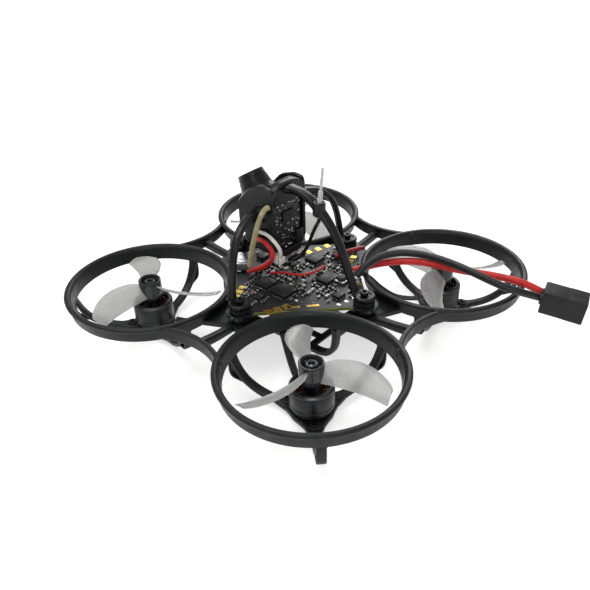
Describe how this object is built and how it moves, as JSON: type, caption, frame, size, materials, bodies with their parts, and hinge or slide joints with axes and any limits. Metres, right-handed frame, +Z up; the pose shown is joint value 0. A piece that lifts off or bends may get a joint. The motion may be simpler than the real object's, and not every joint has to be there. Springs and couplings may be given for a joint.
{
  "type": "palm drone",
  "caption": "Small ducted multirotor drone with propellers turning in ring guards, a tilting camera in an open canopy, a battery tray and a battery lead with its plug.",
  "frame": {"origin": "on the ground under the middle of the four ducts", "axes": "+Z up, +Y forward, the way the camera looks, +X to the drone's right"},
  "size_m": [0.0826, 0.0957, 0.0392],
  "materials": {
    "black_nylon": "moulded, fine grain",
    "black_abs": "moulded, satin",
    "black_laminate": "solder mask over glass laminate",
    "black_rubber": "matte",
    "black_anodised_aluminium": "black anodised, turned",
    "enamelled_copper": "enamelled winding",
    "bright_steel": "bright",
    "black_steel": "black oxide",
    "lens_glass": "coated, polished",
    "smoke_polycarbonate": "clear with a grey smoke",
    "red_silicone": "silicone jacket",
    "black_silicone": "silicone jacket",
    "white_silicone": "silicone jacket",
    "grey_sleeve": "heat-shrink sleeve",
    "tan_sleeve": "aged clear sleeve",
    "plug_nylon": "moulded, fine grain"
  },
  "bodies": {
    "frame": {"duct_front_left": "black_nylon", "motor_base_front_left": "black_anodised_aluminium", "stator_front_left": "enamelled_copper", "motor_wires_front_left": "black_silicone", "duct_front_right": "black_nylon", "motor_base_front_right": "black_anodised_aluminium", "stator_front_right": "enamelled_copper", "motor_wires_front_right": "black_silicone", "duct_rear_left": "black_nylon", "motor_base_rear_left": "black_anodised_aluminium", "stator_rear_left": "enamelled_copper", "motor_wires_rear_left": "black_silicone", "duct_rear_right": "black_nylon", "motor_base_rear_right": "black_anodised_aluminium", "stator_rear_right": "enamelled_copper", "motor_wires_rear_right": "black_silicone", "bridge_left": "black_nylon", "grommet_left": "black_rubber", "screw_left": "black_steel", "bridge_rear": "black_nylon", "grommet_rear": "black_rubber", "screw_rear": "black_steel", "bridge_right": "black_nylon", "grommet_right": "black_rubber", "screw_right": "black_steel", "bridge_front": "black_nylon", "grommet_front": "black_rubber", "screw_front": "black_steel", "battery_tray": "black_nylon", "flight_controller": "black_laminate", "usb_socket": "bright_steel", "canopy": "black_abs", "camera_board": "black_laminate", "receiver_antenna": "grey_sleeve", "transmitter_antenna": "tan_sleeve", "antenna_coax": "black_silicone", "camera_wire_red": "red_silicone", "camera_wire_white": "white_silicone", "battery_lead_red": "red_silicone", "battery_lead_black": "black_silicone", "battery_plug": "plug_nylon"},
    "rotor_front_left": {"bell_front_left": "black_anodised_aluminium", "shaft_front_left": "bright_steel", "propeller_front_left": "smoke_polycarbonate"},
    "rotor_front_right": {"bell_front_right": "black_anodised_aluminium", "shaft_front_right": "bright_steel", "propeller_front_right": "smoke_polycarbonate"},
    "rotor_rear_left": {"bell_rear_left": "black_anodised_aluminium", "shaft_rear_left": "bright_steel", "propeller_rear_left": "smoke_polycarbonate"},
    "rotor_rear_right": {"bell_rear_right": "black_anodised_aluminium", "shaft_rear_right": "bright_steel", "propeller_rear_right": "smoke_polycarbonate"},
    "camera": {"camera_housing": "black_abs", "lens_barrel": "black_abs", "lens_glass": "lens_glass", "camera_screw_left": "black_steel", "camera_screw_right": "black_steel"},
    "bind_button": {"bind_button": "black_abs"}
  },
  "joints": [
    {"name": "spin_front_left", "type": "hinge", "parent": "frame", "child": "rotor_front_left", "pos_m": [-0.02298, 0.02298, 0.005], "axis": [0, 0, 1], "continuous": true},
    {"name": "spin_front_right", "type": "hinge", "parent": "frame", "child": "rotor_front_right", "pos_m": [0.02298, 0.02298, 0.005], "axis": [0, 0, 1], "continuous": true},
    {"name": "spin_rear_left", "type": "hinge", "parent": "frame", "child": "rotor_rear_left", "pos_m": [-0.02298, -0.02298, 0.005], "axis": [0, 0, 1], "continuous": true},
    {"name": "spin_rear_right", "type": "hinge", "parent": "frame", "child": "rotor_rear_right", "pos_m": [0.02298, -0.02298, 0.005], "axis": [0, 0, 1], "continuous": true},
    {"name": "camera_tilt", "type": "hinge", "parent": "frame", "child": "camera", "pos_m": [0, 0.0083, 0.0257], "axis": [1, 0, 0], "range_deg": [-25, 5]},
    {"name": "bind_button_press", "type": "slide", "parent": "frame", "child": "bind_button", "axis": [0, 0, -1], "range_m": [0, 0.00025], "stiffness_N_per_m": 300}
  ]
}
